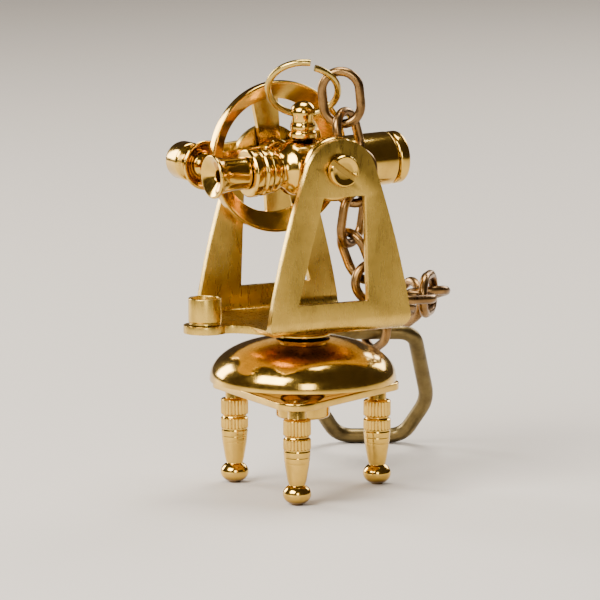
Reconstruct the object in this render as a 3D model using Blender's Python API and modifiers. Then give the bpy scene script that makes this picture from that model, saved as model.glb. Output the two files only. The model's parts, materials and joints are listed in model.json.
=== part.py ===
"""Miniature brass theodolite on a key ring.

A turned tribrach on three foot screws carries a bent U frame, which turns about Z on a spindle.
The telescope tilts about X between the arms, with its vertical circle beside it.  A finial on the
telescope holds a jump ring, a chain of oval links and a key ring that stands behind the base.
Metres, +Z up.  X is the tilt axis, the telescope points along +Y, Z = 0 is the surface it stands on.
"""
import math

import bmesh
import bpy
from mathutils import Matrix, Vector

MM = 0.001
SEAT = 0.10 * MM            # gap between pieces that rest on each other
RUN = 0.08 * MM             # radial clearance of a shaft in its hole

# Base
LEG_CIRCLE = 12.9 * MM
LEG_ANGLES = (-33, 87, 207)
PLATE_BOTTOM = 15.0 * MM
PLATE_TOP = 16.2 * MM
PLATE_CORNER = 3.4 * MM     # corner radius, about each foot screw
STUD_RADIUS = 1.0 * MM
DOME_RIM = 17.4 * MM
DOME_TOP = 24.3 * MM
DOME_RADIUS = 14.5 * MM
DOME_WALL = 0.6 * MM
SPINDLE_RADIUS = 1.5 * MM
POST_RADIUS = 3.2 * MM
HUB_RADIUS = 4.2 * MM
HUB_BOTTOM = 11.6 * MM

# U frame
FRAME_BOTTOM = 26.1 * MM
SHEET = 1.2 * MM
FRAME_HALF = 12.2 * MM      # half the width across the arms' outer faces
BEND = 2.4 * MM             # outer radius of the bends
FLOOR_TOP = FRAME_BOTTOM + SHEET
ARM_TOP = 56.2 * MM
ARM_TOP_RADIUS = 6.2 * MM
ARM_FOOT = 12.3 * MM        # half the width of an arm at the bottom
ARM_TAPER = math.radians(15.5)
ARM_BULGE = 0.5 * MM        # how far an arm's sides bow out
TONGUE_CENTRE = -17.2 * MM
TONGUE_RADIUS = 3.35 * MM
CUP_RADIUS = 2.6 * MM
CUP_HEIGHT = 4.1 * MM
CUP_WALL = 0.5 * MM

# Tilt axis
PIVOT = 51.5 * MM
AXLE_RADIUS = 1.6 * MM
SCREW_SHANK = 0.9 * MM
SCREW_HEAD = 2.5 * MM
SCREW_HEAD_HEIGHT = 1.3 * MM
ARM_INNER = FRAME_HALF - SHEET
BOSS_RADIUS = 5.0 * MM
BOSS_INNER = 8.6 * MM

# Vertical circle
CIRCLE_FRONT = -7.1 * MM
CIRCLE_RADIUS = 11.85 * MM
CIRCLE_EDGE = 1.5 * MM
RIM_INNER = 8.9 * MM
RIM_DISH = 2.5 * MM
SPOKES = 4
SPOKE_TURN = math.radians(8)

# Telescope
TUBE_TILT = math.radians(2)
TUBE_DROP = 0.8 * MM        # the telescope's line lies this far below the tilt axis
BODY_RADIUS = 4.2 * MM

# Clamp at the side of the far arm
CLAMP_Y = -11.05 * MM
CLAMP_Z = PIVOT - 1.1 * MM
STRAP_INNER = -FRAME_HALF - SEAT
STRAP_HALF = 2.6 * MM
KNOB_RADIUS = 3.0 * MM
KNOB_LENGTH = 6.0 * MM
CUP_WASHER_RADIUS = 3.9 * MM

# Finial, jump ring, chain and key ring
FINIAL_HOLE_Z = 58.9 * MM
FINIAL_HOLE_RADIUS = 1.1 * MM
RING_RADIUS = 5.37 * MM
RING_WIRE = 0.53 * MM
RING_YAW = 61               # degrees; the jump ring's hole runs this way
RING_LEAN = math.radians(38)
LINK_LENGTH = 9.6 * MM
LINK_WIDTH = 7.2 * MM
LINK_WIRE = 0.72 * MM
LINK_SLACK = 0.36 * MM
CHAIN_START = Vector((6.35, 2.9, 65.1)) * MM
# Each link's heading about Z, how far it dips, and the compass angle of its width
# (None stands the link on its edge)
LINK_POSES = (
    (80, 84, 56), (90, 73, 120), (88, 88, 60), (228, 82, 118), (86, 68, 8), (82, 38, None),
    (102, 4, 5), (138, 0, None), (172, 14, 82), (178, 27, None), (178, 27, 88), (178, 27, None))
KEY_RING_BAR = 1.2 * MM
KEY_RING_DEPTH = 25.4 * MM
KEY_RING_WIDTH = 20.0 * MM
UP = Vector((0, 0, 1))

parts = bpy.data.collections.new("theodolite")
tools = bpy.data.collections.new("cutters")


def clear_scene():
    for obj in list(bpy.data.objects):
        bpy.data.objects.remove(obj, do_unlink=True)
    bpy.context.scene.collection.children.link(parts)
    bpy.context.scene.collection.children.link(tools)


def brass(name, colour, roughness):
    material = bpy.data.materials.new(name)
    material.use_nodes = True
    shader = material.node_tree.nodes["Principled BSDF"]
    shader.inputs["Base Color"].default_value = (*colour, 1)
    shader.inputs["Metallic"].default_value = 1.0
    shader.inputs["Roughness"].default_value = roughness
    return material


POLISHED = (0.72, 0.52, 0.20)
SATIN = (0.66, 0.52, 0.22)
AGED = (0.25, 0.18, 0.09)
COPPER = (0.42, 0.26, 0.15)


def link_object(name, mesh, colour=POLISHED, roughness=0.25, cutter=False):
    obj = bpy.data.objects.new(name, mesh)
    (tools if cutter else parts).objects.link(obj)
    if cutter:
        obj.hide_render = True
        obj.display_type = "WIRE"
    else:
        mesh.materials.clear()
        mesh.materials.append(brass(name, colour, roughness))
    return obj


def smooth(obj, angle=35):
    obj.data.shade_smooth()
    obj.data.set_sharp_from_angle(angle=math.radians(angle))


def baked(obj):
    """The object as a plain mesh, with its modifiers applied and its place kept."""
    bpy.context.view_layer.update()
    graph = bpy.context.evaluated_depsgraph_get()
    mesh = bpy.data.meshes.new_from_object(obj.evaluated_get(graph))
    mesh.transform(obj.matrix_world)
    work = bmesh.new()
    work.from_mesh(mesh)
    bmesh.ops.remove_doubles(work, verts=work.verts, dist=1e-6)
    bmesh.ops.recalc_face_normals(work, faces=work.faces)
    work.to_mesh(mesh)
    work.free()
    name = obj.name
    home = obj.users_collection[0]
    bpy.data.objects.remove(obj, do_unlink=True)
    fresh = bpy.data.objects.new(name, mesh)
    home.objects.link(fresh)
    if home == tools:
        fresh.hide_render = True
        fresh.display_type = "WIRE"
    return fresh


def turned(name, profile, steps=32, axis="Z", place=(0, 0, 0), cutter=False, **look):
    """A turned piece: profile is (radius, height) pairs down its outer side, top to bottom."""
    mesh = bpy.data.meshes.new(name)
    points = [Vector((r, 0, h)) for r, h in profile]
    work = bmesh.new()
    verts = [work.verts.new(p) for p in points]
    closed = profile[0][0] > 0 or profile[-1][0] > 0
    for a, b in zip(verts, verts[1:]):
        work.edges.new((a, b))
    if closed:
        work.edges.new((verts[-1], verts[0]))
    work.to_mesh(mesh)
    work.free()
    obj = link_object(name, mesh, cutter=cutter, **look)
    screw = obj.modifiers.new("turn", "SCREW")
    screw.steps = steps
    screw.render_steps = steps
    screw.use_merge_vertices = True
    screw.merge_threshold = 0.00001
    turn = {"Z": Matrix.Identity(4), "X": Matrix.Rotation(math.pi / 2, 4, "Y"),
            "Y": Matrix.Rotation(-math.pi / 2, 4, "X")}[axis]
    obj.matrix_world = Matrix.Translation(place) @ turn
    obj = baked(obj)
    smooth(obj)
    return obj


def plate(name, outline, low, high, axis="Z", bevel=0.0, cutter=False, **look):
    """A flat piece: a closed 2D outline between two heights along Z, or along X on (Y, Z) points."""
    curve = bpy.data.curves.new(name, "CURVE")
    curve.dimensions = "2D"
    curve.fill_mode = "BOTH"
    curve.extrude = (high - low) / 2
    spline = curve.splines.new("POLY")
    spline.points.add(len(outline) - 1)
    for point, (u, v) in zip(spline.points, outline):
        point.co = (u, v, 0, 1)
    spline.use_cyclic_u = True
    obj = bpy.data.objects.new(name, curve)
    (tools if cutter else parts).objects.link(obj)
    turn = Matrix.Identity(4)
    middle = Vector((0, 0, (low + high) / 2))
    if axis == "X":
        turn = Matrix(((0, 0, 1, 0), (1, 0, 0, 0), (0, 1, 0, 0), (0, 0, 0, 1)))
        middle = Vector(((low + high) / 2, 0, 0))
    obj.matrix_world = Matrix.Translation(middle) @ turn
    obj = baked(obj)
    if bevel:
        rounded = obj.modifiers.new("edges", "BEVEL")
        rounded.width = bevel
        rounded.segments = 2
        rounded.limit_method = "ANGLE"
        rounded.angle_limit = math.radians(50)
        obj = baked(obj)
    if not cutter:
        obj.data.materials.clear()
        obj.data.materials.append(brass(name, look.get("colour", POLISHED), look.get("roughness", 0.25)))
    smooth(obj)
    return obj


def combine(obj, other, operation="DIFFERENCE"):
    """Cuts, joins or intersects obj with other, which is used up."""
    change = obj.modifiers.new(operation.lower(), "BOOLEAN")
    change.operation = operation
    change.object = other
    materials = list(obj.data.materials)
    obj = baked(obj)
    obj.data.materials.clear()
    for material in materials:
        obj.data.materials.append(material)
    bpy.data.objects.remove(other, do_unlink=True)
    smooth(obj)
    return obj


def rod(name, radius, low, high, axis="Z", place=(0, 0, 0), steps=24):
    """A cylinder used to cut a hole."""
    return turned(name, [(0, high), (radius, high), (radius, low), (0, low)], steps=steps, axis=axis,
                  place=place, cutter=True)


def arc(centre, radius, start, end, count):
    """Points on an arc, with angles in degrees."""
    spots = (math.radians(start + (end - start) * i / count) for i in range(count + 1))
    return [(centre[0] + radius * math.cos(a), centre[1] + radius * math.sin(a)) for a in spots]


def oblong(half_length, half_width):
    return [(-half_length, -half_width), (half_length, -half_width), (half_length, half_width),
            (-half_length, half_width)]


def wire(name, points, radius, cyclic=True, sides=2, **look):
    """A bent wire along points, with its ends closed."""
    curve = bpy.data.curves.new(name, "CURVE")
    curve.dimensions = "3D"
    curve.bevel_depth = radius
    curve.bevel_resolution = sides
    curve.use_fill_caps = True
    spline = curve.splines.new("POLY")
    spline.points.add(len(points) - 1)
    for point, place in zip(spline.points, points):
        point.co = (*place, 1)
    spline.use_cyclic_u = cyclic
    obj = bpy.data.objects.new(name, curve)
    parts.objects.link(obj)
    obj = baked(obj)
    obj.data.materials.append(brass(name, look.get("colour", POLISHED), look.get("roughness", 0.25)))
    smooth(obj, 60)
    return obj


def level(degrees):
    """The horizontal direction at an angle about Z from +X."""
    return Vector((math.cos(math.radians(degrees)), math.sin(math.radians(degrees)), 0))


def set_origin(obj, place):
    """Moves the origin to a point, such as one on the piece's joint axis, and keeps the shape still."""
    obj.data.transform(Matrix.Translation(-Vector(place)))
    obj.location = place


# ---- Base ---------------------------------------------------------------------------------------

def leg_spots():
    return [level(angle) * LEG_CIRCLE for angle in LEG_ANGLES]


def make_base_plate():
    outline = []
    for angle, spot in zip(LEG_ANGLES, leg_spots()):
        outline += arc((spot.x, spot.y), PLATE_CORNER, angle - 60, angle + 60, 8)
    obj = plate("base_plate", outline, PLATE_BOTTOM, PLATE_TOP, bevel=0.2 * MM)
    obj = combine(obj, rod("hole", SPINDLE_RADIUS + RUN, PLATE_BOTTOM - MM, PLATE_TOP + MM))
    for spot in leg_spots():
        obj = combine(obj, rod("hole", STUD_RADIUS + RUN, PLATE_BOTTOM - MM, PLATE_TOP + MM,
                               place=(spot.x, spot.y, 0), steps=16))
    return obj


def make_foot_screws():
    """A ball foot with a small flat, a taper, two fluted bands and a threaded stud."""
    flat, ball, ankle, band = 0.9 * MM, 2.2 * MM, 1.45 * MM, 2.15 * MM
    heights = [(STUD_RADIUS, PLATE_TOP), (STUD_RADIUS, PLATE_BOTTOM - 2 * SEAT)]
    profile = [(0, PLATE_TOP)] + heights
    profile += [(1.45 * MM, PLATE_BOTTOM - 2 * SEAT), (1.45 * MM, 13.3 * MM)]
    profile += [(1.95 * MM, 13.3 * MM), (band, 13.1 * MM), (band, 10.9 * MM), (1.9 * MM, 10.75 * MM)]
    profile += [(1.9 * MM, 10.45 * MM), (band, 10.3 * MM), (2.08 * MM, 8.4 * MM), (ankle, 3.7 * MM)]
    centre = 1.7 * MM
    rise = 1.72 * MM
    for degrees in range(45, -66, -22):
        angle = math.radians(degrees)
        profile.append((ball * math.cos(angle), centre + rise * math.sin(angle)))
    profile += [(flat, 0), (0, 0)]
    for i, spot in enumerate(leg_spots(), 1):
        obj = turned(f"foot_screw_{i}", profile, steps=18, place=spot)
        set_origin(obj, spot)


def dome_curve(radius, low, high, count):
    """The dome's quarter outline, fuller than an ellipse, from its shoulder down to its rim."""
    points = []
    for i in range(count + 1):
        a = math.pi / 2 * i / count
        points.append((radius * math.sin(a) ** 0.86, low + (high - low) * math.cos(a) ** 0.92))
    return points


def make_dome():
    outer = dome_curve(DOME_RADIUS, DOME_RIM + 0.15 * MM, DOME_TOP, 8)
    inner = dome_curve(DOME_RADIUS - DOME_WALL, DOME_RIM + 0.15 * MM, DOME_TOP - DOME_WALL, 5)
    bore = SPINDLE_RADIUS + RUN
    profile = [(bore, DOME_TOP)] + [p for p in outer if p[0] > bore + 0.3 * MM]
    profile += [(DOME_RADIUS, DOME_RIM), (DOME_RADIUS - DOME_WALL, DOME_RIM)]
    profile += [p for p in reversed(inner) if p[0] > bore + 0.3 * MM]
    profile.append((bore, DOME_TOP - DOME_WALL))
    return turned("dome_cover", profile, steps=40)


def make_spindle():
    """The screw that the frame turns on: a slotted head on the frame's floor, a long shank."""
    head_low = FLOOR_TOP + SEAT
    head_high = head_low + 1.3 * MM
    obj = turned("azimuth_spindle", [
        (0, head_high), (2.5 * MM, head_high), (2.8 * MM, head_high - 0.3 * MM), (2.8 * MM, head_low),
        (SPINDLE_RADIUS, head_low), (SPINDLE_RADIUS, HUB_BOTTOM + 0.2 * MM), (0, HUB_BOTTOM + 0.2 * MM)],
        steps=28)
    slot = plate("slot", oblong(4 * MM, 0.35 * MM), head_high - 0.6 * MM, head_high + MM, cutter=True)
    return combine(obj, slot)


def ring_profile(outer, inner, low, high, edge=0.15 * MM):
    return [(inner, high), (outer - edge, high), (outer, high - edge), (outer, low + edge),
            (outer - edge, low), (inner, low)]


def make_base_stack():
    """What the spindle clamps: a hub nut, a post in the dome and a friction washer on top of it."""
    bore = SPINDLE_RADIUS + RUN
    turned("hub_nut", ring_profile(HUB_RADIUS, bore, HUB_BOTTOM, PLATE_BOTTOM - SEAT, 0.25 * MM))
    top = DOME_TOP - DOME_WALL - 0.4 * MM
    turned("dome_post", ring_profile(POST_RADIUS, bore, PLATE_TOP + SEAT, top))
    turned("neck_washer", ring_profile(4.3 * MM, bore, DOME_TOP + SEAT, FRAME_BOTTOM - SEAT, 0.3 * MM))


# ---- U frame ------------------------------------------------------------------------------------

def arm_outline():
    """The arm's outline on (Y, Z): rounded top, tapered sides and rounded bottom corners."""
    low = FRAME_BOTTOM
    corner = 2.2 * MM
    slope = math.degrees(ARM_TAPER)
    top = (0, ARM_TOP - ARM_TOP_RADIUS)
    right = arc((ARM_FOOT - corner, low + corner), corner, -90, slope, 5)
    start = Vector(right[-1])
    end = Vector((ARM_TOP_RADIUS * math.cos(ARM_TAPER), top[1] + ARM_TOP_RADIUS * math.sin(ARM_TAPER)))
    for t in (0.2, 0.4, 0.6, 0.8):
        spot = start.lerp(end, t)
        right.append((spot.x + ARM_BULGE * 4 * t * (1 - t), spot.y))
    return right + arc(top, ARM_TOP_RADIUS, slope, 180 - slope, 12) + [(-y, z) for y, z in reversed(right)]


def strip_outline():
    """The bent strip's section on (X, Z), going round outside and back inside."""
    inner = BEND - SHEET
    half, top = FRAME_HALF, ARM_TOP + MM
    low = FRAME_BOTTOM + BEND
    outside = arc((half - BEND, low), BEND, 0, -90, 6)
    inside = arc((half - BEND, low), inner, -90, 0, 4)
    outer = [(half, top)] + outside + [(-x, z) for x, z in reversed(outside)] + [(-half, top)]
    back = [(-x, z) for x, z in reversed(inside)]
    return outer + [(-half + SHEET, top)] + back + inside + [(half - SHEET, top)]


def tongue_outline():
    """The tongue for the cup, swept in from the floor's full width to a round end."""
    root, reach, count = 11.0 * MM, -9.5 * MM, 10
    neck_y = TONGUE_CENTRE + 2.0 * MM
    neck = math.sqrt(TONGUE_RADIUS ** 2 - (2.0 * MM) ** 2)
    right = []
    for i in range(count + 1):
        t = i / count
        right.append((neck + (root - neck) * (1 - t) ** 2.2, reach + (neck_y - reach) * t))
    start = math.degrees(math.atan2(2.0 * MM, neck))
    end = arc((0, TONGUE_CENTRE), TONGUE_RADIUS, start, -180 - start, 16)
    return right[:-1] + end + [(-x, y) for x, y in reversed(right[:-1])]


def window_outline(turned_round):
    """The window is askew; the far arm's is the same shape turned half round."""
    corners = [(-7.5, 31.0), (4.9, 31.0), (4.3, 47.4), (-3.1, 47.4)]
    side = -1 if turned_round else 1
    points = [(side * y * MM, z * MM) for y, z in corners]
    return points if side == 1 else points[::-1]


def make_frame():
    obj = plate("u_frame", strip_outline(), -ARM_FOOT, ARM_FOOT, colour=SATIN, roughness=0.35)
    obj.data.transform(Matrix.Rotation(math.pi / 2, 4, "X"))
    cutter = plate("arm_shape", arm_outline(), -2 * FRAME_HALF, 2 * FRAME_HALF, axis="X", cutter=True)
    obj = combine(obj, cutter, "INTERSECT")
    obj = combine(obj, plate("tongue", tongue_outline(), FRAME_BOTTOM, FLOOR_TOP, cutter=True), "UNION")
    for side in (1, -1):
        low, high = sorted((side * (ARM_INNER - MM), side * (FRAME_HALF + MM)))
        window = plate("window", window_outline(side < 0), low, high, axis="X", cutter=True)
        obj = combine(obj, window)
        hole = rod("hole", SCREW_SHANK + RUN, low, high, axis="X", place=(0, 0, PIVOT), steps=20)
        obj = combine(obj, hole)
    obj = combine(obj, rod("hole", SPINDLE_RADIUS + RUN, FRAME_BOTTOM - MM, FLOOR_TOP + MM, steps=24))
    edges = obj.modifiers.new("edges", "BEVEL")
    edges.width = 0.15 * MM
    edges.segments = 1
    edges.limit_method = "ANGLE"
    edges.angle_limit = math.radians(60)
    return obj


def make_cup():
    low = FLOOR_TOP + SEAT
    high = low + CUP_HEIGHT
    inner = CUP_RADIUS - CUP_WALL
    profile = [(0, low + 0.6 * MM), (inner, low + 0.6 * MM), (inner, high), (CUP_RADIUS, high),
               (CUP_RADIUS, low), (0, low)]
    turned("level_cup", profile, steps=28, place=(0, TONGUE_CENTRE, 0), colour=SATIN)


# ---- Tilt axis ----------------------------------------------------------------------------------

def slotted_screw(name, side, head_at, tip, turn, **look):
    """A round-headed screw along X: its head sits outside, its shank reaches in to the axle."""
    edge = SCREW_HEAD_HEIGHT
    profile = [(0, edge), (1.9 * MM, edge), (SCREW_HEAD, 0.6 * edge), (SCREW_HEAD, 0), (SCREW_SHANK, 0),
               (SCREW_SHANK, -abs(head_at - tip)), (0, -abs(head_at - tip))]
    obj = turned(name, profile, steps=28, **look)
    slot = plate("slot", oblong(3 * MM, 0.5 * MM), 0.4 * edge, 2 * edge, cutter=True)
    slot.data.transform(Matrix.Rotation(turn, 4, "Z"))
    obj = combine(obj, slot)
    obj.data.transform(Matrix.Rotation(side * math.pi / 2, 4, "Y"))
    obj.data.transform(Matrix.Translation((head_at, 0, PIVOT)))
    return obj


def make_tilt_axis():
    slotted_screw("near_trunnion_screw", 1, FRAME_HALF + SEAT, 5.6 * MM, math.radians(55))
    strap_outer = STRAP_INNER - SHEET
    slotted_screw("far_trunnion_screw", -1, strap_outer - SEAT, -8.4 * MM, math.radians(20))
    place = (0, 0, PIVOT)
    bore = SCREW_SHANK + RUN
    near, far, depth = BOSS_INNER - SEAT, -ARM_INNER + SEAT, 3.0 * MM
    turned("trunnion_axle", [
        (bore, near), (AXLE_RADIUS, near), (AXLE_RADIUS, far), (bore, far), (bore, far + depth),
        (0, far + depth), (0, near - depth), (bore, near - depth)], steps=24, axis="X", place=place)
    turned("trunnion_boss", ring_profile(BOSS_RADIUS, bore, BOSS_INNER, ARM_INNER - SEAT, 0.5 * MM),
           steps=36, axis="X", place=place)


def make_circle():
    """The vertical circle: a dished rim, four flared spokes and a hub."""
    front, back = CIRCLE_FRONT, CIRCLE_FRONT - RIM_DISH
    place = (0, 0, PIVOT)
    thick = 1.05 * MM
    rim = turned("vertical_circle", [
        (RIM_INNER, back), (CIRCLE_RADIUS - 0.1 * MM, front), (CIRCLE_RADIUS, front - 0.1 * MM),
        (CIRCLE_RADIUS, front - CIRCLE_EDGE), (RIM_INNER + 0.3 * MM, back - thick),
        (RIM_INNER, back - thick)], steps=48, axis="X", place=place)
    hub = turned("hub", [
        (AXLE_RADIUS - 0.3 * MM, front - 0.9 * MM), (2.3 * MM, front - 0.9 * MM),
        (2.6 * MM, front - 1.2 * MM), (2.6 * MM, back - thick), (AXLE_RADIUS - 0.3 * MM, back - thick)],
        steps=28, axis="X", place=place, cutter=True)
    for i in range(SPOKES):
        inner, outer = 1.9 * MM, RIM_INNER + 0.55 * MM
        narrow, wide = 1.7 * MM, 2.25 * MM
        outline = [(inner, -narrow), (outer, -wide), (outer, wide), (inner, narrow)]
        spoke = plate("spoke", outline, back - thick + 0.05 * MM, back - 0.15 * MM, axis="X", cutter=True)
        turn = Matrix.Rotation(SPOKE_TURN + math.pi / 2 * (i + 1), 4, "X")
        spoke.data.transform(Matrix.Translation(place) @ turn)
        hub = combine(hub, spoke, "UNION")
    rim = combine(rim, hub, "UNION")
    bore = rod("bore", AXLE_RADIUS + 0.5 * RUN, -20 * MM, 0, axis="X", place=place)
    return combine(rim, bore)


# ---- Telescope ----------------------------------------------------------------------------------

def along_tube(name, profile, steps=24, **look):
    """A piece turned about the telescope's line; heights run towards the objective."""
    return turned(name, [(r * MM, s * MM) for r, s in profile], steps=steps, axis="Y",
                  place=(0, 0, PIVOT - TUBE_DROP), **look)


def tilt_up(obj):
    """Raises the objective end a little, about the tilt axis."""
    centre = Matrix.Translation((0, 0, PIVOT))
    obj.data.transform(centre @ Matrix.Rotation(TUBE_TILT, 4, "X") @ centre.inverted())
    return obj


def make_telescope():
    body = along_tube("telescope_body", [
        (2.2, 4.6), (3.5, 4.6), (4.2, 4.0), (4.2, -2.6), (3.7, -3.3), (3.0, -4.0), (2.7, -4.8),
        (2.0, -4.8)])
    hole = rod("cross_hole", AXLE_RADIUS + 0.5 * RUN, -20 * MM, 20 * MM, axis="X", place=(0, 0, PIVOT))
    body = combine(tilt_up(body), hole)
    tapped = rod("tapped_hole", 0.8 * MM + RUN, PIVOT + 2.1 * MM, PIVOT + 6 * MM,
                 steps=16)
    combine(body, tapped)
    pieces = [
        along_tube("objective_barrel", [
            (3.1, 15.0), (3.9, 15.0), (4.15, 14.7), (4.15, 7.0), (3.95, 6.4), (3.95, 5.4), (4.15, 5.1),
            (4.15, 4.75), (3.1, 4.75)]),
        along_tube("objective_ring", [
            (2.9, 17.1), (3.75, 17.1), (4.1, 16.6), (4.1, 15.4), (3.85, 15.1), (2.9, 15.1)]),
        along_tube("draw_tube", [
            (1.2, -4.95), (3.0, -4.95), (3.4, -5.5), (3.55, -6.2), (3.55, -6.8), (1.2, -6.8)]),
        along_tube("focus_collar", [
            (1.4, -6.9), (3.5, -6.9), (3.72, -7.1), (3.72, -7.9), (3.45, -8.1), (3.45, -8.5),
            (3.8, -8.7), (3.8, -9.8), (3.5, -10.1), (1.4, -10.1)]),
        along_tube("eyepiece", [
            (0.9, -10.2), (2.55, -10.2), (2.5, -11.4), (2.6, -13.0), (2.9, -14.6), (3.35, -15.6),
            (3.42, -16.0), (3.2, -16.15), (2.0, -15.5), (0.9, -14.9)]),
    ]
    for piece in pieces:
        tilt_up(piece)
    set_origin(pieces[-1], (0, 0, PIVOT))


def make_finial():
    """A turned ball on a beaded stem, cross-drilled for the jump ring."""
    base = PIVOT - TUBE_DROP + BODY_RADIUS + 0.05 * MM
    profile = [(0, 61.0 * MM)]
    for degrees in range(65, -16, -20):
        angle = math.radians(degrees)
        profile.append((2.0 * MM * math.cos(angle), (59.2 + 1.8 * math.sin(angle)) * MM))
    profile += [(r * MM, h * MM) for r, h in (
        (1.95, 58.4), (1.8, 57.6), (1.95, 57.2), (1.95, 56.6), (1.8, 56.4), (2.05, 56.2), (2.15, 55.9),
        (2.15, 55.3))]
    profile += [(1.6 * MM, base + 0.05 * MM), (0.8 * MM, base + 0.05 * MM), (0.8 * MM, PIVOT + 3 * MM),
                (0, PIVOT + 3 * MM)]
    obj = turned("finial", profile, steps=20)
    hole = rod("hole", FINIAL_HOLE_RADIUS, -5 * MM, 5 * MM, axis="X", steps=16)
    hole.data.transform(Matrix.Rotation(math.radians(RING_YAW), 4, "Z"))
    hole.data.transform(Matrix.Translation((0, 0, FINIAL_HOLE_Z)))
    return combine(obj, hole)


# ---- Clamp --------------------------------------------------------------------------------------

def make_clamp():
    outer = STRAP_INNER - SHEET
    line = (CLAMP_Y, CLAMP_Z)
    strap = [*arc((0, PIVOT), STRAP_HALF, -90, 90, 10), *arc(line, STRAP_HALF, 90, 270, 10)]
    obj = plate("clamp_strap", strap, outer, STRAP_INNER, axis="X", colour=SATIN)
    obj = combine(obj, rod("hole", SCREW_SHANK + RUN, -20 * MM, 0, axis="X", place=(0, 0, PIVOT), steps=20))
    place = (0, CLAMP_Y, CLAMP_Z)
    obj = combine(obj, rod("hole", SCREW_SHANK + RUN, -20 * MM, 0, axis="X", place=place, steps=20))
    face = STRAP_INNER + SEAT
    rim = face + 1.3 * MM
    pieces = [turned("cup_washer", [
        (1.0 * MM, face + 0.45 * MM), (2.3 * MM, face + 0.45 * MM), (CUP_WASHER_RADIUS - 0.4 * MM, rim),
        (CUP_WASHER_RADIUS, rim - 0.2 * MM), (2.9 * MM, face), (1.0 * MM, face)],
        steps=28, axis="X", place=place)]
    tip = outer - KNOB_LENGTH + 0.9 * MM
    head = face + 0.55 * MM
    screw = turned("clamp_screw", [
        (0, head + 0.8 * MM), (1.3 * MM, head + 0.8 * MM), (1.95 * MM, head + 0.4 * MM),
        (1.95 * MM, head), (SCREW_SHANK, head), (SCREW_SHANK, tip), (0, tip)],
        steps=28, axis="X", place=place)
    cut = [(y + CLAMP_Y, z + CLAMP_Z) for y, z in oblong(3 * MM, 0.25 * MM)]
    slot = plate("slot", cut, head + 0.4 * MM, head + 2 * MM, axis="X", cutter=True)
    pieces.append(combine(screw, slot))
    knob_face = outer - SEAT
    bore = SCREW_SHANK + 0.5 * RUN
    end = knob_face - KNOB_LENGTH
    pieces.append(turned("clamp_knob", [
        (bore, knob_face), (2.1 * MM, knob_face), (2.1 * MM, knob_face - 1.5 * MM),
        (KNOB_RADIUS, knob_face - 1.9 * MM), (KNOB_RADIUS, end + 1.0 * MM),
        (2.75 * MM, end + 0.5 * MM), (2.2 * MM, end + 0.1 * MM), (0, end), (0, tip - 0.15 * MM),
        (bore, tip - 0.15 * MM)], steps=32, axis="X", place=place))
    for piece in pieces:
        set_origin(piece, place)


# ---- Ring, chain and key ring -------------------------------------------------------------------

def make_jump_ring():
    """An open ring through the finial's hole, its two ends a little out of line."""
    hole = Vector((0, 0, FINIAL_HOLE_Z))
    across = level(RING_YAW)
    up = UP * math.cos(RING_LEAN) + level(RING_YAW - 90) * math.sin(RING_LEAN)
    side = across.cross(up)
    centre = hole + up * RING_RADIUS
    points = []
    start, sweep, count = 78, 352, 28
    for i in range(count + 1):
        t = i / count
        angle = math.radians(start + sweep * t)
        offset = side * (t - 0.5) * 0.9 * MM
        points.append(centre + (across * math.cos(angle) + up * math.sin(angle)) * RING_RADIUS + offset)
    obj = wire("jump_ring", points, RING_WIRE, cyclic=False, sides=1)
    set_origin(obj, hole)


def link_points(centre, along, across):
    """A link's centre line: two straight sides and two round ends."""
    half = LINK_WIDTH / 2 - LINK_WIRE
    straight = LINK_LENGTH / 2 - LINK_WIDTH / 2
    points = []
    for side in (1, -1):
        for i in range(6):
            angle = math.pi / 2 - math.pi * (i + 0.5) / 6
            u = side * (straight + half * math.cos(angle))
            v = side * half * math.sin(angle)
            points.append(centre + along * u + across * v)
    return points


def make_chain():
    """The links, end to end from the jump ring; returns where the key ring's bar sits."""
    joint = CHAIN_START
    pitch = LINK_LENGTH - 4 * LINK_WIRE - LINK_SLACK
    for i, (heading, dip, side) in enumerate(LINK_POSES, 1):
        along = level(heading) * math.cos(math.radians(dip)) - UP * math.sin(math.radians(dip))
        hint = UP if side is None else level(side)
        across = (hint - along * hint.dot(along)).normalized()
        points = link_points(joint + along * pitch / 2, along, across)
        obj = wire(f"chain_link_{i:02d}", points, LINK_WIRE, sides=1, colour=COPPER)
        set_origin(obj, joint)
        joint = joint + along * pitch
    return joint - along * (LINK_SLACK / 2 + KEY_RING_BAR)


def make_key_ring(top):
    """A rounded loop of heavy bar, hung on the last link and leaning with its foot on the ground."""
    half, deep = KEY_RING_WIDTH / 2 - KEY_RING_BAR, KEY_RING_DEPTH - 2 * KEY_RING_BAR
    lean = math.acos((top.z - KEY_RING_BAR) / deep)
    across = level(RING_YAW)
    down = -UP * math.cos(lean) - level(RING_YAW - 90) * math.sin(lean)
    corners = [(-0.78, 0.0), (0.78, 0.0), (1.05, 0.64), (0.6, 1.0), (-0.6, 1.0), (-1.05, 0.64)]
    points = []
    radius = 2.6 * MM
    flat = [Vector((u * half, v * deep)) for u, v in corners]
    for i, corner in enumerate(flat):
        before, after = flat[i - 1], flat[(i + 1) % len(flat)]
        start = corner + (before - corner).normalized() * radius
        end = corner + (after - corner).normalized() * radius
        for t in (0.0, 0.35, 0.65, 1.0):
            points.append(start * (1 - t) ** 2 + corner * 2 * t * (1 - t) + end * t ** 2)
    world = [top + across * p.x + down * p.y for p in points]
    obj = wire("key_ring", world, KEY_RING_BAR, sides=2, colour=AGED, roughness=0.45)
    set_origin(obj, top)


def main():
    clear_scene()
    make_base_plate()
    make_foot_screws()
    make_dome()
    make_spindle()
    make_base_stack()
    make_frame()
    make_cup()
    make_tilt_axis()
    make_circle()
    make_telescope()
    make_finial()
    make_clamp()
    make_jump_ring()
    make_key_ring(make_chain())


main()
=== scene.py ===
"""The finished look of the miniature brass theodolite, built around its CAD frame.

Each CAD node is replaced by a finer mesh of the same size.  Lengths are in millimetres until mm().
"""

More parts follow.
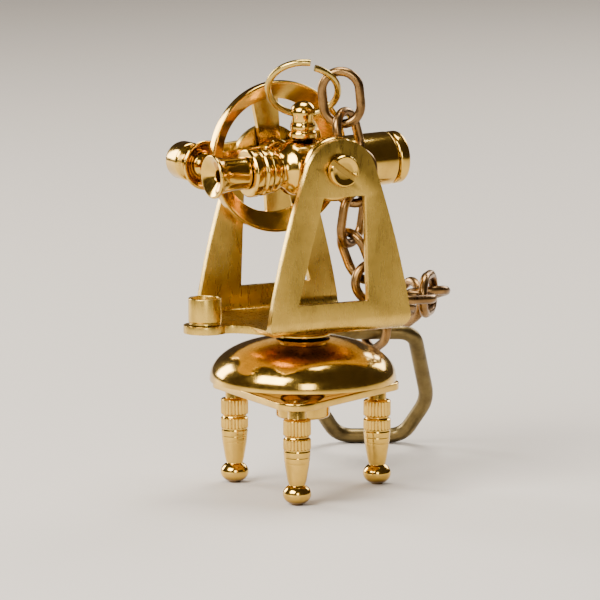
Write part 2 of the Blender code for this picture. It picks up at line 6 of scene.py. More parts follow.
import json
import math

import bmesh
import bpy
from mathutils import Matrix, Vector, noise


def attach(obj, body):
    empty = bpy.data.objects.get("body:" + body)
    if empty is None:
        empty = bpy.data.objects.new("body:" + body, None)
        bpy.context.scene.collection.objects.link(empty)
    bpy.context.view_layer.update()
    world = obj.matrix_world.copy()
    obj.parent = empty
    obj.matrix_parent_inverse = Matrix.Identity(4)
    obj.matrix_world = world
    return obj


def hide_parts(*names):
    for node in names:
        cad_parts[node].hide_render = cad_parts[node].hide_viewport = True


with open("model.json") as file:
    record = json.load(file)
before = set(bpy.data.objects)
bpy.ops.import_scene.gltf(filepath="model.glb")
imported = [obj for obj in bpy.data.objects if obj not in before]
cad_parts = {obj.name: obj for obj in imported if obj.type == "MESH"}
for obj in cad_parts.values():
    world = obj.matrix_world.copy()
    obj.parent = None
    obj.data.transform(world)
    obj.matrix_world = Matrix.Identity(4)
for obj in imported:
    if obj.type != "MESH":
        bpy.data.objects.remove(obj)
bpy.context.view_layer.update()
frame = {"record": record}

UP = Vector((0, 0, 1))
PIVOT = 51.5
TUBE_TILT = math.radians(2)
TUBE_DROP = 0.8
CLAMP = (0, -11.05, 50.4)
LEGS = (-33, 87, 207)
LEG_CIRCLE = 12.9
RING_YAW = 61
RING_LEAN = math.radians(38)
RING_RADIUS = 5.37
FINIAL_HOLE = Vector((0, 0, 58.9))
WIRE = 0.72
LINK_LENGTH = 9.6
LINK_WIDTH = 7.2
LINK_SLACK = 0.36
LINK_PITCH = LINK_LENGTH - 4 * WIRE - LINK_SLACK
CHAIN_START = Vector((6.35, 2.9, 65.1))
# Heading about Z, dip, and compass angle of the link's width (None stands the link on its edge)
LINK_POSES = (
    (80, 84, 56), (90, 73, 120), (88, 88, 60), (228, 82, 118), (86, 68, 8), (82, 38, None),
    (102, 4, 5), (138, 0, None), (172, 14, 82), (178, 27, None), (178, 27, 88), (178, 27, None))
KEY_BAR = 1.2
KEY_DEPTH = 25.4
KEY_WIDTH = 20.0
KEY_CORNER = 2.6
SPINDLE_BORE = 1.58
SCREW_BORE = 0.98
AXLE_BORE = 1.64
SHEET_LOW = 26.1
SHEET_TOP = 27.3
CUP_AT = -17.2
FLUTE_CORE = 1.7
ON_AXIS = 1e-6
SHORTEST_CORNER = 0.004
STRAIGHTEST_CORNER = math.radians(165)
SCRATCH_SCALE = 1500.0


def mm(point):
    return Vector(point) * 0.001


def level(degrees):
    """The horizontal direction at an angle about Z from +X."""
    return Vector((math.cos(math.radians(degrees)), math.sin(math.radians(degrees)), 0))


# ---- Materials ----------------------------------------------------------------------------------

def node(tree, kind, **values):
    made = tree.nodes.new(kind)
    for key, value in values.items():
        if key in made.inputs:
            made.inputs[key].default_value = value
        else:
            setattr(made, key, value)
    return made


def metal(name, bright, dull, roughness, spread=0.08, grain=(1, 1, 1), scratch=0.12, stain=0.5):
    """Brass with cloudy tarnish, painted shade darkening its corners and fine scratches drawn out
    where grain is small.
    """
    material = bpy.data.materials.new(name)
    material.use_nodes = True
    tree = material.node_tree
    shader = tree.nodes["Principled BSDF"]
    shader.inputs["Metallic"].default_value = 1.0
    place = node(tree, "ShaderNodeTexCoord")
    cloud = node(tree, "ShaderNodeTexNoise", Scale=260.0, Detail=6.0, Roughness=0.6)
    tree.links.new(place.outputs["Object"], cloud.inputs["Vector"])
    ramp = node(tree, "ShaderNodeValToRGB")
    ramp.color_ramp.elements[0].position = 0.42
    ramp.color_ramp.elements[0].color = (0, 0, 0, 1)
    ramp.color_ramp.elements[1].position = 0.70
    ramp.color_ramp.elements[1].color = (stain, stain, stain, 1)
    tree.links.new(cloud.outputs["Fac"], ramp.inputs["Fac"])
    # Ambient occlusion paints shade into corners and recesses; the darker of it and the tarnish
    # clouds mixes the colour towards the dark one.
    corner = node(tree, "ShaderNodeAmbientOcclusion", Distance=0.0016, samples=6)
    painted_corner_shade = node(tree, "ShaderNodeMapRange")
    painted_corner_shade.inputs["From Min"].default_value = 0.25
    painted_corner_shade.inputs["From Max"].default_value = 0.85
    painted_corner_shade.inputs["To Min"].default_value = 0.9
    painted_corner_shade.inputs["To Max"].default_value = 0.0
    tree.links.new(corner.outputs["AO"], painted_corner_shade.inputs["Value"])
    tarnish_and_shade_mask = node(tree, "ShaderNodeMath", operation="MAXIMUM")
    tree.links.new(ramp.outputs["Color"], tarnish_and_shade_mask.inputs[0])
    tree.links.new(painted_corner_shade.outputs["Result"], tarnish_and_shade_mask.inputs[1])
    mix = node(tree, "ShaderNodeMix", data_type="RGBA")
    mix.inputs[6].default_value = (*bright, 1)
    mix.inputs[7].default_value = (*dull, 1)
    tree.links.new(tarnish_and_shade_mask.outputs["Value"], mix.inputs[0])
    tree.links.new(mix.outputs[2], shader.inputs["Base Color"])
    mapping = node(tree, "ShaderNodeMapping")
    mapping.inputs["Scale"].default_value = tuple(SCRATCH_SCALE * g for g in grain)
    tree.links.new(place.outputs["Object"], mapping.inputs["Vector"])
    fine = node(tree, "ShaderNodeTexNoise", Scale=1.0, Detail=4.0, Roughness=0.7)
    tree.links.new(mapping.outputs["Vector"], fine.inputs["Vector"])
    rough = node(tree, "ShaderNodeMapRange")
    rough.inputs["From Min"].default_value = 0.3
    rough.inputs["From Max"].default_value = 0.7
    rough.inputs["To Min"].default_value = roughness - spread / 2
    rough.inputs["To Max"].default_value = roughness + spread
    tree.links.new(fine.outputs["Fac"], rough.inputs["Value"])
    tree.links.new(rough.outputs["Result"], shader.inputs["Roughness"])
    bump = node(tree, "ShaderNodeBump", Strength=scratch, Distance=0.00003)
    tree.links.new(fine.outputs["Fac"], bump.inputs["Height"])
    tree.links.new(bump.outputs["Normal"], shader.inputs["Normal"])
    return material


GOLD = (0.72, 0.46, 0.085)
# The dark colour serves both the real tarnish clouds and the painted shade in corners.
TARNISH_AND_PAINTED_SHADE = (0.14, 0.065, 0.012)
LOOKS = {
    "polished_brass": metal("polished_brass", GOLD, TARNISH_AND_PAINTED_SHADE, 0.13, spread=0.06, stain=0.30),
    "satin_brass": metal("satin_brass", (0.64, 0.43, 0.085), TARNISH_AND_PAINTED_SHADE, 0.27, spread=0.06,
                         grain=(1, 1, 0.2), scratch=0.14, stain=0.30),
    "chain_brass": metal("chain_brass", (0.30, 0.17, 0.06), (0.07, 0.035, 0.015), 0.28, stain=0.7),
    "ring_brass": metal("ring_brass", (0.55, 0.39, 0.10), (0.12, 0.075, 0.02), 0.22, stain=0.5),
    "aged_brass": metal("aged_brass", (0.20, 0.145, 0.055), (0.06, 0.042, 0.018), 0.38, stain=0.8),
}
SLOTS = {entry["node"]: entry["material_slot"] for entry in frame["record"]["subparts"]}
BODIES = {name: body for body, names in frame["record"]["behaviour"]["bodies"].items()
          for name in names}


# ---- Shaping ------------------------------------------------------------------------------------

def shown(name, mesh, angle=38):
    """Adds the finished mesh of a CAD node, in its place, on its body and with its finish."""
    obj = bpy.data.objects.new(name + "_fine", mesh)
    bpy.context.scene.collection.objects.link(obj)
    mesh.materials.clear()
    mesh.materials.append(LOOKS[SLOTS[name]])
    mesh.shade_smooth()
    mesh.set_sharp_from_angle(angle=math.radians(angle))
    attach(obj, BODIES[name])
    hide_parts(name)
    return obj


def turn_to(axis):
    return {"Z": Matrix.Identity(4), "X": Matrix.Rotation(math.pi / 2, 4, "Y"),
            "Y": Matrix.Rotation(-math.pi / 2, 4, "X")}[axis]


def softened(profile, radius, closed):
    """The profile with each corner rounded off by a short arc."""
    points = [Vector(p) for p in profile]
    out = []
    count = len(points)
    for i, point in enumerate(points):
        if not closed and i in (0, count - 1):
            out.append(point)
            continue
        before, after = points[i - 1], points[(i + 1) % count]
        a, b = before - point, after - point
        reach = min(radius, 0.4 * a.length, 0.4 * b.length)
        if reach < SHORTEST_CORNER or a.angle(b) > STRAIGHTEST_CORNER:
            out.append(point)
            continue
        start, end = point + a.normalized() * reach, point + b.normalized() * reach
        for t in (0.0, 0.33, 0.67, 1.0):
            out.append(start * (1 - t) ** 2 + point * 2 * t * (1 - t) + end * t ** 2)
    return out


def lathe_mesh(name, profile, steps=72, axis="Z", place=(0, 0, 0), soft=0.12, flutes=()):
    """A turned mesh; flutes are (low, high, count, depth) bands cut along the profile."""
    closed = profile[0][0] > 0 or profile[-1][0] > 0
    outline = softened(profile, soft, closed)
    work = bmesh.new()
    rows = []
    for r, h in outline:
        if r < ON_AXIS:
            rows.append([work.verts.new((0, 0, h))] * steps)
            continue
        row = []
        for i in range(steps):
            a = 2 * math.pi * i / steps
            cut = 0.0
            for low, high, count, depth in flutes:
                if low <= h <= high and r > FLUTE_CORE:
                    cut = depth * (0.5 - 0.5 * math.cos(a * count)) ** 2
            row.append(work.verts.new(((r - cut) * math.cos(a), (r - cut) * math.sin(a), h)))
        rows.append(row)
    pairs = list(zip(rows, rows[1:]))
    if closed:
        pairs.append((rows[-1], rows[0]))
    for upper, lower in pairs:
        for i in range(steps):
            j = (i + 1) % steps
            corners = []
            for vert in (upper[i], lower[i], lower[j], upper[j]):
                if vert not in corners:
                    corners.append(vert)
            if len(corners) > 2:
                work.faces.new(corners)
    return finish_mesh(name, work, Matrix.Translation(Vector(place)) @ turn_to(axis))


def finish_mesh(name, work, matrix):
    """Closes the work, turns its faces outward and gives a mesh in metres."""
    bmesh.ops.transform(work, matrix=Matrix.Scale(0.001, 4) @ matrix, verts=work.verts)
    bmesh.ops.recalc_face_normals(work, faces=work.faces)
    mesh = bpy.data.meshes.new(name)
    work.to_mesh(mesh)
    work.free()
    return mesh


def lathe(name, profile, angle=38, change=None, **how):
    mesh = lathe_mesh(name, profile, **how)
    if change:
        mesh.transform(change)
    return shown(name, mesh, angle)


def arc(centre, radius, start, end, count):
    spots = (math.radians(start + (end - start) * i / count) for i in range(count + 1))
    return [(centre[0] + radius * math.cos(a), centre[1] + radius * math.sin(a)) for a in spots]


def plate_mesh(name, outline, low, high, axis="Z"):
    """A flat mesh between two heights along Z, or along X on (Y, Z) points."""
    work = bmesh.new()
    bottom = [work.verts.new((u, v, low)) for u, v in outline]
    top = [work.verts.new((u, v, high)) for u, v in outline]
    work.faces.new(bottom)
    work.faces.new(top)
    for i in range(len(outline)):
        j = (i + 1) % len(outline)
        work.faces.new((bottom[i], bottom[j], top[j], top[i]))
    turn = Matrix.Identity(4)
    if axis == "X":
        turn = Matrix(((0, 0, 1, 0), (1, 0, 0, 0), (0, 1, 0, 0), (0, 0, 0, 1)))
    return finish_mesh(name, work, turn)


def joined(mesh, others, operation="DIFFERENCE"):
    """mesh cut by, joined with or kept inside the other meshes."""
    body = bpy.data.objects.new("work", mesh)
    bpy.context.scene.collection.objects.link(body)
    helpers = []
    for i, other in enumerate(others):
        helper = bpy.data.objects.new(f"tool_{i}", other)
        bpy.context.scene.collection.objects.link(helper)
        helpers.append(helper)
        step = body.modifiers.new(f"step_{i}", "BOOLEAN")
        step.operation = operation
        step.object = helper
        step.solver = "EXACT"
    made = evaluated(body)
    for helper in helpers:
        bpy.data.objects.remove(helper, do_unlink=True)
    bpy.data.objects.remove(body, do_unlink=True)
    return made


def evaluated(obj):
    graph = bpy.context.evaluated_depsgraph_get()
    graph.update()
    return bpy.data.meshes.new_from_object(obj.evaluated_get(graph))


def bevelled(mesh, width, segments=3, limit=42):
    """The mesh with its sharp edges rounded."""
    obj = bpy.data.objects.new("work", mesh)
    bpy.context.scene.collection.objects.link(obj)
    weld = obj.modifiers.new("weld", "WELD")
    weld.merge_threshold = 2e-6
    edge = obj.modifiers.new("edges", "BEVEL")
    edge.width = width * 0.001
    edge.segments = segments
    edge.limit_method = "ANGLE"
    edge.angle_limit = math.radians(limit)
    edge.use_clamp_overlap = True
    made = evaluated(obj)
    bpy.data.objects.remove(obj, do_unlink=True)
    return made


def rod_mesh(radius, low, high, axis="Z", place=(0, 0, 0), steps=40):
    return lathe_mesh("rod", [(0, high), (radius, high), (radius, low), (0, low)], steps=steps,
                      axis=axis, place=place, soft=0.0)


def wire_mesh(name, points, radius, cyclic=True):
    """A round wire along points given in mm."""
    curve = bpy.data.curves.new(name, "CURVE")
    curve.dimensions = "3D"
    curve.bevel_depth = radius * 0.001
    curve.bevel_resolution = 6
    curve.use_fill_caps = True
    spline = curve.splines.new("POLY")
    spline.points.add(len(points) - 1)
    for point, place in zip(spline.points, points):
        point.co = (*mm(place), 1)
    spline.use_cyclic_u = cyclic
    obj = bpy.data.objects.new(name, curve)
    bpy.context.scene.collection.objects.link(obj)
    mesh = evaluated(obj)
    bpy.data.objects.remove(obj, do_unlink=True)
    return mesh


def ring_profile(outer, inner, low, high, edge=0.15):
    return [(inner, high), (outer - edge, high), (outer, high - edge), (outer, low + edge),
            (outer - edge, low), (inner, low)]


# ---- Base ---------------------------------------------------------------------------------------

def make_base():
    outline = []
    for angle in LEGS:
        spot = level(angle) * LEG_CIRCLE
        outline += arc((spot.x, spot.y), 3.4, angle - 60, angle + 60, 16)
    cuts = [rod_mesh(SPINDLE_BORE, 14, 18)]
    cuts += [rod_mesh(1.08, 14, 18, place=level(angle) * LEG_CIRCLE) for angle in LEGS]
    mesh = joined(plate_mesh("base_plate", outline, 15.0, 16.2), cuts)
    shown("base_plate", bevelled(mesh, 0.18))

    profile = [(0, 16.2), (1.0, 16.2), (1.0, 14.8), (1.45, 14.8), (1.45, 13.45), (1.95, 13.35),
               (2.15, 13.15), (2.15, 10.95), (1.95, 10.8), (1.85, 10.62), (1.95, 10.4),
               (2.15, 10.25), (2.15, 8.75), (2.02, 8.55), (2.1, 8.3), (2.04, 7.6), (1.99, 7.5),
               (2.02, 7.35),
               (1.96, 6.7), (1.9, 6.6), (1.92, 6.45), (1.5, 3.9), (1.42, 3.55)]
    for degrees in range(55, -66, -8):
        a = math.radians(degrees)
        profile.append((2.2 * math.cos(a), 1.7 + 1.72 * math.sin(a)))
    profile += [(0.9, 0), (0, 0)]
    bands = ((10.96, 13.14, 22, 0.16), (8.76, 10.24, 22, 0.16))
    for i, angle in enumerate(LEGS, 1):
        lathe(f"foot_screw_{i}", profile, steps=176, place=level(angle) * LEG_CIRCLE, soft=0.07,
              flutes=bands)

    dome, rim = [], 17.55
    for outer, radius, top in ((True, 14.5, 24.3), (False, 13.9, 23.7)):
        curve = []
        for i in range(29):
            a = math.pi / 2 * i / 28
            rise = (top - rim) * math.cos(a) ** 0.92
            curve.append((radius * math.sin(a) ** 0.86, rim + rise))
        curve = [p for p in curve if p[0] > 1.9]
        dome.append(curve if outer else curve[::-1])
    profile = [(SPINDLE_BORE, 24.3), *dome[0], (14.5, 17.4), (13.9, 17.4), *dome[1],
               (SPINDLE_BORE, 23.7)]
    lathe("dome_cover", profile, steps=144, soft=0.16, angle=50)

    lathe("dome_post", ring_profile(3.2, SPINDLE_BORE, 16.3, 23.3))
    lathe("hub_nut", ring_profile(4.2, SPINDLE_BORE, 11.6, 14.9, 0.3), soft=0.15)
    lathe("neck_washer", [
        (SPINDLE_BORE, 26.0), (3.7, 26.0), (4.0, 25.8), (3.6, 25.4), (3.7, 25.1), (4.3, 24.8),
        (4.3, 24.4), (SPINDLE_BORE, 24.4)])
    shank = [(0, 28.7), (2.5, 28.7), (2.8, 28.4), (2.8, 27.4), (1.5, 27.4), (1.5, 11.8), (0, 11.8)]
    slot = plate_mesh("slot", [(-4, -0.35), (4, -0.35), (4, 0.35), (-4, 0.35)], 28.1, 30)
    shown("azimuth_spindle", joined(lathe_mesh("azimuth_spindle", shank), [slot]))


# ---- U frame ------------------------------------------------------------------------------------

def arm_outline():
    corner, slope, low, foot, bulge = 2.2, 15.5, SHEET_LOW, 12.3, 0.5
    right = arc((foot - corner, low + corner), corner, -90, slope, 12)
    crown = arc((0, 50.0), 6.2, slope, 180 - slope, 40)
    start, end = Vector(right[-1]), Vector(crown[0])
    for i in range(1, 12):
        t = i / 12
        spot = start.lerp(end, t)
        right.append((spot.x + bulge * 4 * t * (1 - t), spot.y))
    return right + crown + [(-y, z) for y, z in reversed(right)]


def strip_outline():
    sheet, half, top, bend = 1.2, 12.2, 57.7, 2.4
    low = SHEET_LOW + bend
    outside = arc((half - bend, low), bend, 0, -90, 12)
    inside = arc((half - bend, low), bend - sheet, -90, 0, 12)
    outer = [(half, top)] + outside + [(-x, z) for x, z in reversed(outside)] + [(-half, top)]
    back = [(-x, z) for x, z in reversed(inside)]
    return outer + [(-half + sheet, top)] + back + inside + [(half - sheet, top)]


def tongue_outline():
    root, reach, count = 11.0, -9.5, 24
    radius, centre = 3.35, CUP_AT
    neck_y = centre + 2.0
    neck = math.sqrt(radius ** 2 - 4.0)
    right = []
    for i in range(count + 1):
        t = i / count
        right.append((neck + (root - neck) * (1 - t) ** 2.2, reach + (neck_y - reach) * t))
    start = math.degrees(math.atan2(2.0, neck))
    end = arc((0, centre), radius, start, -180 - start, 32)
    return right[:-1] + end + [(-x, y) for x, y in reversed(right[:-1])]


def make_frame():
    strip = plate_mesh("strip", strip_outline(), -12.3, 12.3)
    strip.transform(Matrix.Rotation(math.pi / 2, 4, "X"))
    mesh = joined(strip, [plate_mesh("arms", arm_outline(), -25, 25, axis="X")], "INTERSECT")
    mesh = joined(mesh, [plate_mesh("tongue", tongue_outline(), SHEET_LOW, SHEET_TOP)], "UNION")
    cuts = [rod_mesh(SPINDLE_BORE, 25, 28.5)]
    for side in (1, -1):
        low, high = sorted((side * 10, side * 13.5))
        corners = [(side * y, z) for y, z in ((-7.5, 31.0), (4.9, 31.0), (4.3, 47.4), (-3.1, 47.4))]
        cuts.append(plate_mesh("window", corners, low, high, axis="X"))
        cuts.append(rod_mesh(SCREW_BORE, low, high, axis="X", place=(0, 0, PIVOT)))
    shown("u_frame", bevelled(joined(mesh, cuts), 0.24), angle=30)

    low = 27.4
    lathe("level_cup", [(0, low + 0.6), (2.1, low + 0.6), (2.1, low + 4.1), (2.6, low + 4.1),
                        (2.6, low + 0.5), (2.45, low + 0.35), (2.55, low), (0, low)],
          place=(0, CUP_AT, 0), soft=0.14)


# ---- Tilt axis ----------------------------------------------------------------------------------

def screw(name, side, head_at, tip, turn):
    """A dished cheese head with a wide slot, and its shank, along X."""
    reach = abs(head_at - tip)
    profile = [(0, 0.95), (1.4, 0.97), (2.05, 1.28), (2.3, 1.28), (2.5, 1.0), (2.5, 0), (0.9, 0),
               (0.9, -reach), (0, -reach)]
    mesh = lathe_mesh(name, profile, soft=0.1)
    slot = plate_mesh("slot", [(-3, -0.5), (3, -0.5), (3, 0.5), (-3, 0.5)], 0.4, 2)
    slot.transform(Matrix.Rotation(turn, 4, "Z"))
    mesh = joined(mesh, [slot])
    mesh.transform(Matrix.Rotation(side * math.pi / 2, 4, "Y"))
    mesh.transform(Matrix.Translation(mm((head_at, 0, PIVOT))))
    return shown(name, mesh)


def make_tilt_axis():
    screw("near_trunnion_screw", 1, 12.3, 5.6, math.radians(55))
    screw("far_trunnion_screw", -1, -13.6, -8.4, math.radians(20))
    place = (0, 0, PIVOT)
    lathe("trunnion_axle", [
        (SCREW_BORE, 8.5), (1.6, 8.5), (1.6, -10.9), (SCREW_BORE, -10.9), (SCREW_BORE, -7.9),
        (0, -7.9), (0, 5.5), (SCREW_BORE, 5.5)], axis="X", place=place, steps=48)
    lathe("trunnion_boss", ring_profile(5.0, SCREW_BORE, 8.6, 10.9, 0.5), axis="X", place=place,
          soft=0.3)


def make_circle():
    front, back, thick = -7.1, -9.6, 1.05
    place = (0, 0, PIVOT)
    rim = lathe_mesh("rim", [
        (8.9, back), (9.3, back + 0.25), (11.45, front - 0.12), (11.75, front),
        (11.85, front - 0.15), (11.85, front - 1.5), (9.2, back - thick), (8.9, back - thick)],
        steps=144, axis="X", place=place, soft=0.08)
    hub = lathe_mesh("hub", [
        (1.3, front - 0.9), (2.3, front - 0.9), (2.6, front - 1.2), (2.6, back - thick),
        (1.3, back - thick)], axis="X", place=place, soft=0.1)
    spokes = []
    for i in range(4):
        spoke = plate_mesh("spoke", [(1.9, -1.7), (9.45, -2.25), (9.45, 2.25), (1.9, 1.7)],
                           back - thick + 0.05, back - 0.15, axis="X")
        spoke.transform(Matrix.Rotation(math.radians(8 + 90 * (i + 1)), 4, "X"))
        spoke.transform(Matrix.Translation(mm(place)))
        spokes.append(spoke)
    hub = joined(hub, spokes, "UNION")
    rim = joined(rim, [hub], "UNION")
    rim = joined(rim, [rod_mesh(AXLE_BORE, -20, 0, axis="X", place=place)])
    shown("vertical_circle", rim, angle=30)


# ---- Telescope ----------------------------------------------------------------------------------

def make_telescope():
    centre = Matrix.Translation(mm((0, 0, PIVOT)))
    tip = centre @ Matrix.Rotation(TUBE_TILT, 4, "X") @ centre.inverted()
    tube = {"axis": "Y", "place": (0, 0, PIVOT - TUBE_DROP), "steps": 96}
    body = lathe_mesh("body", [
        (2.2, 4.6), (3.5, 4.6), (3.95, 4.35), (4.2, 3.9), (4.2, -2.4), (4.0, -2.9), (3.65, -3.3),
        (3.1, -3.8), (2.8, -4.3), (2.7, -4.8), (2.0, -4.8)], soft=0.2, **tube)
    body.transform(tip)
    body = joined(body, [rod_mesh(AXLE_BORE, -20, 20, axis="X", place=(0, 0, PIVOT)),
                         rod_mesh(0.88, PIVOT + 2.1, PIVOT + 6)])
    shown("telescope_body", body)
    lathe("objective_barrel", [
        (3.1, 15.0), (3.9, 15.0), (4.15, 14.7), (4.15, 7.0), (3.98, 6.75), (3.92, 6.4), (3.92, 5.5),
        (4.05, 5.3), (4.15, 5.1), (4.15, 4.75), (3.1, 4.75)], change=tip, **tube)
    lathe("objective_ring", [
        (2.9, 17.1), (3.6, 17.1), (3.95, 16.85), (4.1, 16.5), (4.1, 15.5), (3.95, 15.25),
        (3.75, 15.1), (2.9, 15.1)], change=tip, **tube)
    lathe("draw_tube", [
        (1.2, -4.95), (3.0, -4.95), (3.3, -5.3), (3.5, -5.8), (3.55, -6.2), (3.55, -6.8),
        (1.2, -6.8)], change=tip, **tube)
    lathe("focus_collar", [
        (1.4, -6.9), (3.5, -6.9), (3.72, -7.1), (3.72, -7.9), (3.45, -8.15), (3.45, -8.45),
        (3.8, -8.7), (3.8, -9.8), (3.5, -10.1), (1.4, -10.1)], change=tip, **tube)
    lathe("eyepiece", [
        (0.9, -10.2), (2.55, -10.2), (2.5, -11.0), (2.49, -11.8), (2.58, -13.0), (2.78, -14.2),
        (3.08, -15.1), (3.35, -15.6), (3.42, -15.95), (3.28, -16.15), (2.9, -16.05), (2.2, -15.75),
        (1.5, -15.3), (0.9, -14.95)], change=tip, **tube)

    base = PIVOT - TUBE_DROP + 4.25
    profile = [(0, 61.0)]
    for degrees in range(84, -21, -6):
        a = math.radians(degrees)
        profile.append((2.0 * math.cos(a), 59.2 + 1.8 * math.sin(a)))
    profile += [(1.86, 58.35), (1.8, 58.0), (1.82, 57.6), (1.95, 57.35), (2.0, 57.1), (1.98, 56.7),
                (1.85, 56.5), (1.82, 56.4), (2.05, 56.25), (2.15, 56.0), (2.15, 55.4), (2.05, 55.3),
                (1.6, base + 0.05), (0.8, base + 0.05), (0.8, PIVOT + 3), (0, PIVOT + 3)]
    mesh = lathe_mesh("finial", profile, soft=0.05)
    hole = rod_mesh(1.1, -5, 5, axis="X")
    hole.transform(Matrix.Rotation(math.radians(RING_YAW), 4, "Z"))
    hole.transform(Matrix.Translation(mm(FINIAL_HOLE)))
    shown("finial", joined(mesh, [hole]))


# ---- Clamp --------------------------------------------------------------------------------------

def make_clamp():
    inner, outer = -12.3, -13.5
    strap = [*arc((0, PIVOT), 2.6, -90, 90, 24), *arc(CLAMP[1:], 2.6, 90, 270, 24)]
    mesh = plate_mesh("clamp_strap", strap, outer, inner, axis="X")
    holes = [rod_mesh(SCREW_BORE, -20, 0, axis="X", place=spot) for spot in ((0, 0, PIVOT), CLAMP)]
    shown("clamp_strap", bevelled(joined(mesh, holes), 0.2))
    face = inner + 0.1
    rim = face + 1.3
    lathe("cup_washer", [
        (1.0, face + 0.45), (2.3, face + 0.45), (2.9, face + 0.75), (3.5, rim), (3.75, rim - 0.02),
        (3.9, rim - 0.2), (3.5, face + 0.45), (2.9, face), (1.0, face)], axis="X", place=CLAMP,
        soft=0.08)
    tip = outer - 5.1
    head = face + 0.55
    mesh = lathe_mesh("clamp_screw", [
        (0, head + 0.8), (1.3, head + 0.78), (1.95, head + 0.4), (1.95, head), (0.9, head),
        (0.9, tip), (0, tip)], axis="X", place=CLAMP, soft=0.1)
    low, high = CLAMP[2] - 0.25, CLAMP[2] + 0.25
    slot = plate_mesh("slot", [(-20, low), (0, low), (0, high), (-20, high)], head + 0.35, head + 2,
                      axis="X")
    shown("clamp_screw", joined(mesh, [slot]))
    top = outer - 0.1
    end = top - 6.0
    lathe("clamp_knob", [
        (0.94, top), (2.1, top), (2.0, top - 0.7), (2.1, top - 1.5), (2.8, top - 1.75),
        (3.0, top - 2.0), (3.0, end + 1.0), (2.9, end + 0.6), (2.6, end + 0.2), (2.2, end),
        (1.7, end + 0.1), (0, end + 0.2), (0, tip - 0.15), (0.94, tip - 0.15)], axis="X",
        place=CLAMP, soft=0.15)


# ---- Ring, chain and key ring -------------------------------------------------------------------

def make_jump_ring():
    """An open ring, its two cut ends a little out of line."""
    across = level(RING_YAW)
    up = UP * math.cos(RING_LEAN) + level(RING_YAW - 90) * math.sin(RING_LEAN)
    side = across.cross(up)
    centre = FINIAL_HOLE + up * RING_RADIUS
    points = []
    for i in range(121):
        t = i / 120
        a = math.radians(78 + 352 * t)
        spot = centre + (across * math.cos(a) + up * math.sin(a)) * RING_RADIUS
        points.append(spot + side * (t - 0.5) * 0.9)
    shown("jump_ring", wire_mesh("jump_ring", points, 0.53, cyclic=False), angle=50)


def link_points(centre, along, across, seed):
    """A link's centre line, a little uneven, as hand-closed links are."""
    half, straight = LINK_WIDTH / 2 - WIRE, LINK_LENGTH / 2 - LINK_WIDTH / 2
    normal = along.cross(across)
    points = []
    for side in (1, -1):
        for i in range(25):
            a = math.pi / 2 - math.pi * i / 24
            u, v = side * (straight + half * math.cos(a)), side * half * math.sin(a)
            sway = 0.05 * noise.noise(Vector((u * 0.3, v * 0.3, seed * 3.7)))
            points.append(centre + along * u + across * v + normal * sway)
    return points


def make_chain():
    joint = CHAIN_START.copy()
    for i, (heading, dip, side) in enumerate(LINK_POSES, 1):
        along = level(heading) * math.cos(math.radians(dip)) - UP * math.sin(math.radians(dip))
        hint = UP if side is None else level(side)
        across = (hint - along * hint.dot(along)).normalized()
        name = f"chain_link_{i:02d}"
        points = link_points(joint + along * LINK_PITCH / 2, along, across, i)
        shown(name, wire_mesh(name, points, WIRE), angle=50)
        joint = joint + along * LINK_PITCH
    return joint - along * (LINK_SLACK / 2 + KEY_BAR)


def make_key_ring(top):
    """A rounded loop of heavy bar, leaning with its foot on the ground."""
    half, deep = KEY_WIDTH / 2 - KEY_BAR, KEY_DEPTH - 2 * KEY_BAR
    lean = math.acos((top.z - KEY_BAR) / deep)
    across = level(RING_YAW)
    down = -UP * math.cos(lean) - level(RING_YAW - 90) * math.sin(lean)
    corners = [(-0.78, 0.0), (0.78, 0.0), (1.05, 0.64), (0.6, 1.0), (-0.6, 1.0), (-1.05, 0.64)]
    flat = [Vector((u * half, v * deep)) for u, v in corners]
    points = []
    for i, corner in enumerate(flat):
        before, after = flat[i - 1], flat[(i + 1) % len(flat)]
        start = corner + (before - corner).normalized() * KEY_CORNER
        end = corner + (after - corner).normalized() * KEY_CORNER
        for k in range(11):
            t = k / 10
            bend = start * (1 - t) ** 2 + corner * 2 * t * (1 - t) + end * t ** 2
            points.append(top + across * bend.x + down * bend.y)
    shown("key_ring", wire_mesh("key_ring", points, KEY_BAR), angle=50)


# ---- Studio -------------------------------------------------------------------------------------

def plain(name, colour, roughness):
    material = bpy.data.materials.new(name)
    material.use_nodes = True
    shader = material.node_tree.nodes["Principled BSDF"]
    shader.inputs["Base Color"].default_value = (*colour, 1)
    shader.inputs["Roughness"].default_value = roughness
    return material


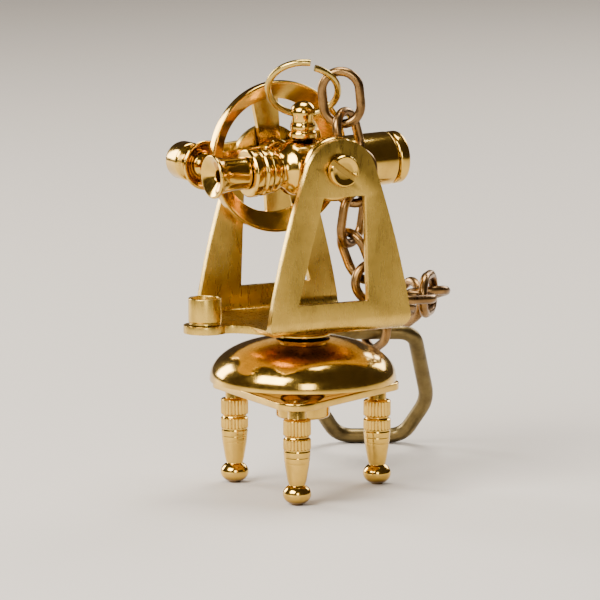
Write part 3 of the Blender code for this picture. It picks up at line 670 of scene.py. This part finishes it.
def softbox(name, place, size, power, colour=(1.0, 0.95, 0.88)):
    light = bpy.data.lights.new(name, "AREA")
    light.shape = "RECTANGLE"
    light.size, light.size_y = size
    light.energy = power
    light.color = colour
    obj = bpy.data.objects.new(name, light)
    bpy.context.scene.collection.objects.link(obj)
    obj.location = place
    obj.rotation_mode = "QUATERNION"
    obj.rotation_quaternion = (Vector((0, 0, 0.03)) - Vector(place)).to_track_quat("-Z", "Y")


def make_studio():
    mesh = bpy.data.meshes.new("floor")
    reach = 4.0
    corners = [(-reach, -reach, 0), (reach, -reach, 0), (reach, reach, 0), (-reach, reach, 0)]
    mesh.from_pydata(corners, [], [(0, 1, 2, 3)])
    mesh.materials.append(plain("floor", (0.62, 0.58, 0.53), 0.6))
    floor = bpy.data.objects.new("floor", mesh)
    bpy.context.scene.collection.objects.link(floor)
    world = bpy.data.worlds.new("studio")
    world.use_nodes = True
    world.node_tree.nodes["Background"].inputs["Color"].default_value = (0.20, 0.15, 0.11, 1)
    world.node_tree.nodes["Background"].inputs["Strength"].default_value = 0.35
    bpy.context.scene.world = world
    softbox("key", (0.16, -0.50, 0.40), (0.40, 0.30), 9.0)
    softbox("left", (-0.55, -0.25, 0.22), (0.20, 0.30), 3.5)
    softbox("top", (-0.10, 0.10, 0.75), (0.35, 0.35), 7.0)
    softbox("front", (0.72, -0.30, 0.24), (0.20, 0.30), 2.2)
    softbox("back", (-0.30, 0.60, 0.35), (0.35, 0.25), 3.0)


def make_camera():
    azimuth, elevation = math.radians(61), math.radians(8.5)
    aim = mm((-0.2, -0.4, 29.9))
    flat = math.cos(elevation)
    back = Vector((math.sin(azimuth) * flat, -math.cos(azimuth) * flat, math.sin(elevation)))
    data = bpy.data.cameras.new("camera")
    data.lens = 387
    data.clip_start = 0.01
    camera = bpy.data.objects.new("camera", data)
    bpy.context.scene.collection.objects.link(camera)
    camera.rotation_mode = "QUATERNION"
    camera.location = aim + back
    camera.rotation_quaternion = (-back).to_track_quat("-Z", "Y")
    bpy.context.scene.camera = camera


make_base()
make_frame()
make_tilt_axis()
make_circle()
make_telescope()
make_clamp()
make_jump_ring()
make_key_ring(make_chain())
make_studio()
make_camera()
